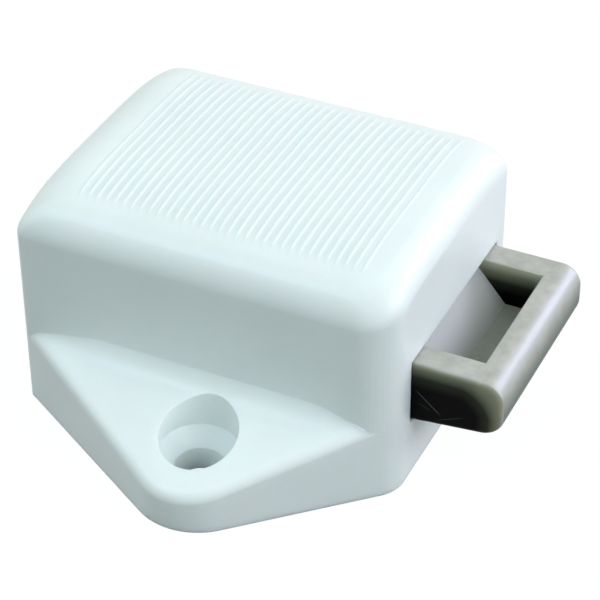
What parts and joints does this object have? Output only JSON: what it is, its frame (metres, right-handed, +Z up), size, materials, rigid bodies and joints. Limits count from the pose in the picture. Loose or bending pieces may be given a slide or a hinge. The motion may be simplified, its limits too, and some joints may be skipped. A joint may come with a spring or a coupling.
{
  "type": "touch latch",
  "caption": "Push-push cupboard latch: moulded case with two screw ears, and a sprung grey tongue with a strike pocket that slides in and out of its mouth.",
  "frame": {"origin": "on the mounting face, which is the underside, midway between the ears and 20 mm behind the front wall's face", "axes": "+X out of the mouth along the tongue, +Y across the two ears, +Z up from the mounting face"},
  "size_m": [0.0493, 0.0556, 0.0248],
  "materials": {
    "white_plastic": "moulded, semi-gloss",
    "base_plastic": "moulded, satin",
    "acetal": "moulded, natural",
    "satin_zinc": "die-cast, satin",
    "steel": "drawn bar",
    "zinc_plated_steel": "zinc plated",
    "spring_steel": "oiled"
  },
  "bodies": {
    "case": {"housing": "white_plastic", "base_plate": "base_plastic", "base_screw_rear_left": "zinc_plated_steel", "base_screw_rear_right": "zinc_plated_steel", "base_screw_front_left": "zinc_plated_steel", "base_screw_front_right": "zinc_plated_steel", "arm_rivet": "steel", "arm_spring": "spring_steel", "spring_rivet": "steel", "return_spring_left": "spring_steel", "return_spring_right": "spring_steel"},
    "bolt": {"tongue": "satin_zinc", "slider": "acetal", "tongue_pin": "steel"},
    "arm": {"cam_arm": "zinc_plated_steel", "follower_pin": "steel"}
  },
  "joints": [
    {"name": "tongue_slide", "type": "slide", "parent": "case", "child": "bolt", "axis": [1, 0, 0], "range_m": [-0.0095, 0], "stiffness_N_per_m": 700, "springref_m": 0.012, "deforming": ["return_spring_left", "return_spring_right"]},
    {"name": "cam_swing", "type": "hinge", "parent": "case", "child": "arm", "pos_m": [-0.0142, 0, 0.0038], "axis": [0, 0, 1], "range_deg": [-0.5, 22]}
  ],
  "couplings": [
    {"joint": "cam_swing", "follows": "tongue_slide", "rad_per_m": -39.51}
  ]
}
